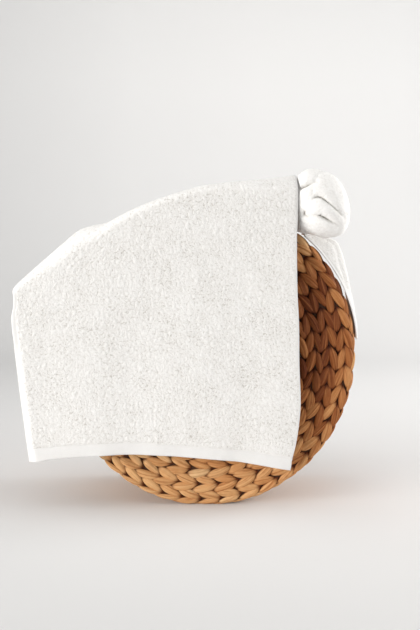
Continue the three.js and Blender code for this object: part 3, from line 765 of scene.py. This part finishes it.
def make_roll():
    around = 184
    a = np.linspace(0, 2 * math.pi, around, endpoint=False)
    first, last = TIP["left"], TIP["right"] - 4
    mid = (core(first, math.pi / 2) + core(first, -math.pi / 2)) / 2
    rings = []
    for share, back in ((0.10, 6.2), (0.28, 5.6), (0.5, 4.4), (0.7, 2.9), (0.86, 1.4), (0.96, 0.4)):
        p = core(first, a)
        p[:, 2] = mix(mid[2], p[:, 2], share)
        p[:, 1] = mix(mid[1], p[:, 1], 1 - (1 - share) ** 2)
        p[:, 0] -= back
        p[:, 2] -= back * 0.8
        rings.append(p)
    for x in np.linspace(first, last, 176):
        rings.append(core(x, a))
    rows = np.linspace(0, len(END["x"]) - 1, 40)
    key = np.arange(float(len(END["x"])))
    smooth = {k: column({"i": key, "v": END[k]}, "i", "v", rows) for k in END}

    def ring(row, share, reach):
        yaw = math.radians(row["yaw"])
        full = lambda v: np.sign(v) * np.abs(v) ** (2 / row["square"])
        side, lift = full(np.cos(a)), full(np.sin(a))
        v = np.where(lift > 0, row["up"] * share ** DOME["over"], row["down"] * share ** DOME["under"]) * lift
        h = -row["half"] * share ** DOME["sides"] * side
        return np.stack([row["x"] + math.cos(yaw) * reach + math.sin(yaw) * h,
                         row["y"] - math.sin(yaw) * reach + math.cos(yaw) * h,
                         row["z"] + v - DOME["drop"] * (reach / DOME["reach"]) ** 2], -1)

    body_rings = len(rings)
    for i in range(len(rows)):
        rings.append(ring({k: smooth[k][i] for k in smooth}, 1.0, 0.0))
    last_row = {k: END[k][-1] for k in END}
    domes = 44
    for i in range(1, domes):
        t = i / domes * math.pi / 2
        rings.append(ring(last_row, math.cos(t), DOME["reach"] * math.sin(t)))
    p = np.stack(rings)
    yaw = math.radians(last_row["yaw"])
    pole = np.array([last_row["x"] + math.cos(yaw) * DOME["reach"], last_row["y"] - math.sin(yaw) * DOME["reach"],
                     last_row["z"] - DOME["drop"]])
    n = grid_normals(p, loop=True)
    centre = p.mean(axis=1, keepdims=True)
    if ((p - centre) * n).sum(-1)[body_rings // 2].mean() < 0:
        n = -n
    # creases of the wound end, cut towards its middle
    in_end = ease((np.arange(len(p)) - (body_rings - 8)) / 8.0)[:, None]
    deep, puff, line = crease(p[..., 0], p[..., 2])
    front_side = ease((16 - p[..., 1]) / 18) * in_end
    inward = unit(np.stack([p[..., 0] - 188, p[..., 1] - 24, (p[..., 2] - 549) * 0.55], -1))
    swell = 1.3 * ease(puff / 11) * front_side
    # behind, the same turns go on round the back of the end
    hh = (p[..., 1] - END["y"][-1]) * math.cos(yaw) + (p[..., 0] - END["x"][-1]) * math.sin(yaw)
    vv = p[..., 2] - 549
    rad = np.hypot(hh / 48, vv / 56)
    ang = np.arctan2(vv, hh)
    turns = rad * 3.05 + (ang / (2 * math.pi)) + 0.25
    wave = np.abs(turns - np.round(turns)) / 3.05 * 50
    behind = ease((p[..., 1] + 4) / 16) * in_end * ease((1.02 - rad) / 0.12) * ease((rad - 0.12) / 0.1)
    groove = 5.0 * (0.6 * np.exp(-((wave / 2.4) ** 1.4)) + 0.4 * np.exp(-((wave / 6.0) ** 2))) * behind
    pile = tufts(p[..., 0] / 4.4, p[..., 1] / 4.4, p[..., 2] / 4.4, seed=2) * 0.7 + 0.3 * tufts(p[..., 0] / 2.9, p[..., 1] / 2.9, p[..., 2] / 2.9, seed=5)
    soft = 1.2 * smooth_noise(p[..., 0] / 26, p[..., 1] / 26, p[..., 2] / 26, seed=31)
    amount = (0.5 + 0.6 * in_end)
    p2 = p - inward * (deep * front_side)[..., None] - n * groove[..., None]
    p2 = p2 + n * (swell + (pile - 0.45) * 1.25 * np.clip(amount, 0, 1) + soft * in_end)[..., None]
    rows_n, cols_n = p2.shape[:2]
    flat = p2.reshape(-1, 3)
    tip = mid + np.array([-6.8, 0, -5.2])
    flat = np.concatenate([flat, [tip, pole - unit(pole - np.array([188, 24, 549])) * 1.0]])
    faces = grid_faces(rows_n, cols_n, loop=True)
    k = np.arange(cols_n)
    t0, t1 = rows_n * cols_n, rows_n * cols_n + 1
    fan0 = np.stack([np.full(cols_n, t0), (k + 1) % cols_n, k], -1)
    fan1 = np.stack([np.full(cols_n, t1), (rows_n - 1) * cols_n + k, (rows_n - 1) * cols_n + (k + 1) % cols_n], -1)
    cloth = flat * np.array([1.0, 1.0, 1.0])
    # painted shade: the pile is lowered in the creases and grooves of the wound end, and below 0 along the crease
    # lines, so that the terry colours them dark
    pile_all = np.concatenate([(np.clip(0.3 + 0.7 * pile - 0.4 * (deep * front_side + groove) / 9, 0, 1) - line * front_side).reshape(-1), [0.5, 0.5]])
    ob = add_mesh("towel_wound_half", flat, [faces, fan0, fan1], terry,
                  [("cloth", "FLOAT_VECTOR", cloth), ("zone", "FLOAT", np.full(len(flat), 0.5)), ("pile", "FLOAT", pile_all)])
    close_tips(ob)
    return ob


def make_corner():
    steps, cols = 108, 62
    lo, hi = CORNER["at"][0], CORNER["at"][-1]
    at = np.linspace(hi, lo, steps + 1)[:, None]
    get = lambda key: column(CORNER, "at", key, at)
    share = np.linspace(0, 1, cols + 1)[None]
    # the near hem leans forward and down, so that no light passes between it and the basket
    near = np.where(at > 15, np.minimum(get("near"), 8.0), get("near"))
    y = mix(near, get("far"), share ** 1.3)
    lift = mix(get("near_lift"), get("far_lift"), ease((y - get("near")) / CORNER_SLOPE)) + CLOTH["thick"] / 2
    lift = lift - 1.7 * (1 - ease((y - near) / 8))
    a = np.radians(at)
    # a soft fold that runs down the slanting part, and small ripples behind it
    fold = 3.0 * np.exp(-(((y - get("near") - 15 - 4 * np.sin(at / 6)) / 3.2) ** 2)) * ease((at - 14) / 8) * ease((49 - at) / 5)
    lift = lift - np.minimum(fold, lift - 4.4) * (lift > 5.5)
    r = outline(a) + lift + 0.7 * smooth_noise(at / 5, y / 17, seed=44) * ease((lift - 5) / 4)
    mid = np.stack(np.broadcast_arrays(BASKET["x"] + r * np.cos(a), y, BASKET["z"] + r * np.sin(a)), -1)
    n = grid_normals(mid)
    out = mid - np.array([BASKET["x"], 0, BASKET["z"]])
    if (n * out).sum(-1).mean() < 0:
        n = -n
    seg = np.linalg.norm(np.diff(mid, axis=1), axis=-1)
    c = np.concatenate([np.zeros((steps + 1, 1)), np.cumsum(seg, axis=1)], axis=1)
    s = np.broadcast_to((at - lo) * 4.9, c.shape)
    hem = ease((9 - c) / 2.5)
    zone = np.maximum(hem, 0.35)
    pile = terry_pile(c + 700, s)
    height = mix(0.2 + 1.3 * pile, np.full_like(pile, 0.2), hem)
    rows_n, cols_n = mid.shape[:2]
    edge = np.minimum(np.minimum(np.arange(rows_n), np.arange(rows_n)[::-1])[:, None],
                      np.minimum(np.arange(cols_n), np.arange(cols_n)[::-1])[None])
    thin = np.where(edge == 0, 0.75, np.where(edge == 1, 0.95, 1.0))
    top = mid + n * ((1.0 + height) * thin)[..., None]
    low = mid - n * ((1.0 + 0.4) * thin)[..., None]
    count = rows_n * cols_n
    loop = np.concatenate([np.arange(cols_n - 1), np.arange(rows_n - 1) * cols_n + cols_n - 1,
                           (rows_n - 1) * cols_n + np.arange(cols_n - 1, 0, -1), np.arange(rows_n - 1, 0, -1) * cols_n])
    nxt = np.roll(loop, -1)
    rim = np.stack([nxt, loop, loop + count, nxt + count], -1)
    pts = np.concatenate([top.reshape(-1, 3), low.reshape(-1, 3)])
    two = lambda v: np.concatenate([v.reshape(-1), v.reshape(-1)])
    cloth = np.stack([two(c + 700), two(s), np.zeros(2 * count)], -1)
    ob = add_mesh("towel_far_end", pts, [grid_faces(rows_n, cols_n), grid_faces(rows_n, cols_n, start=count, flip=True), rim],
                  terry, [("cloth", "FLOAT_VECTOR", cloth), ("zone", "FLOAT", two(zone)), ("pile", "FLOAT", two(pile))])
    close_tips(ob)
    area = float(np.linalg.norm(np.cross(mid[1:, :-1] - mid[:-1, :-1], mid[:-1, 1:] - mid[:-1, :-1]), axis=-1).sum()) * 1e-6
    return ob, area


hanging, hanging_area = make_loose_end()
close_tips(hanging)
wound = make_roll()
far_end, far_area = make_corner()
print("AREAS", round(hanging_area, 4), round(far_area, 4))
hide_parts("towel_loose_end")
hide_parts("towel_roll")
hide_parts("towel_far_corner")


# ------------------------------------------------------------------ floor, light, camera
def sweep():
    """A pale floor that turns up into a plain backdrop behind."""
    pts, ys = [], []
    r, y0 = 1.3, 1.5
    prof = [(-2.6, 0.0), (0.0, 0.0), (y0, 0.0)] + [(y0 + r * math.sin(t), r - r * math.cos(t)) for t in np.linspace(0.08, math.pi / 2, 20)] + [(y0 + r, 4.2)]
    me = bpy.data.meshes.new("floor")
    verts, faces = [], []
    for y, z in prof:
        verts += [(-4.0, y, z), (4.0, y, z)]
    for i in range(len(prof) - 1):
        faces.append((2 * i, 2 * i + 1, 2 * i + 3, 2 * i + 2))
    me.from_pydata(verts, [], faces)
    me.polygons.foreach_set("use_smooth", np.ones(len(me.polygons), bool))
    ob = bpy.data.objects.new("floor", me)
    bpy.context.scene.collection.objects.link(ob)
    m, nt, bsdf = new_material("pale_floor")
    k = Nodes(nt)
    co = k.split(nt.nodes.new("ShaderNodeTexCoord").outputs["Object"])
    # painted light and shade: darker on the left and towards the front and far back, palest round the object
    across = k.ramp(k.range(co[0], -1.3, 1.3), (0.0, (0.63, 0.63, 0.63)), (0.35, (0.735, 0.733, 0.73)), (0.6, (0.75, 0.747, 0.743)), (1.0, (0.725, 0.723, 0.72)))
    along = k.ramp(k.range(co[1], -1.0, 3.0), (0.0, 0.90), (0.2, 1.0), (0.45, 1.0), (0.8, 0.93))
    k.put(bsdf.inputs["Base Color"], k.blend(1.0, across, along, "MULTIPLY"))
    bsdf.inputs["Roughness"].default_value = 0.8
    bsdf.inputs["Specular IOR Level"].default_value = 0.2
    me.materials.append(m)
    return ob


sweep()


def area_light(name, at, to, size, power, colour=(1, 1, 1), shape=None):
    li = bpy.data.lights.new(name, "AREA")
    li.shape = "RECTANGLE" if shape else "SQUARE"
    li.size = size
    if shape:
        li.size_y = shape
    li.energy = power
    li.color = colour
    ob = bpy.data.objects.new(name, li)
    ob.location = at
    ob.rotation_euler = (Vector(to) - Vector(at)).to_track_quat("-Z", "Y").to_euler()
    bpy.context.scene.collection.objects.link(ob)
    return ob


area_light("key", (-4.0, -2.3, 0.95), (0.0, -0.1, 0.32), 3.2, 240, (1.0, 0.985, 0.965), 1.8)
area_light("above", (-0.2, -0.2, 2.4), (0.0, 0.0, 0.3), 1.6, 15)
area_light("side", (2.1, 0.5, 0.85), (0.2, 0.12, 0.42), 1.4, 18, (1.0, 0.985, 0.965))
area_light("fill", (2.6, -0.6, 0.95), (0.1, 0.0, 0.4), 1.5, 36, (1.0, 0.985, 0.965))
area_light("backdrop", (2.5, 0.7, 1.5), (0.9, 2.8, 1.0), 1.4, 27)

world = bpy.data.worlds.new("studio")
bpy.context.scene.world = world
world.use_nodes = True
world.node_tree.nodes["Background"].inputs[0].default_value = (1.0, 0.99, 0.975, 1.0)
world.node_tree.nodes["Background"].inputs[1].default_value = 0.325

cam_data = bpy.data.cameras.new("camera")
cam = bpy.data.objects.new("camera", cam_data)
cam.location = (0.0055, -1.555, 0.510)
cam.rotation_euler = (math.radians(83.9), 0.0, 0.0)
cam_data.sensor_fit = "VERTICAL"
cam_data.sensor_height = 36.0
cam_data.lens = 813.0 / 630.0 * 36.0
cam_data.clip_start = 0.05
bpy.context.scene.collection.objects.link(cam)
bpy.context.scene.camera = cam

bpy.context.scene.view_settings.view_transform = "Standard"
bpy.context.scene.view_settings.look = "None"
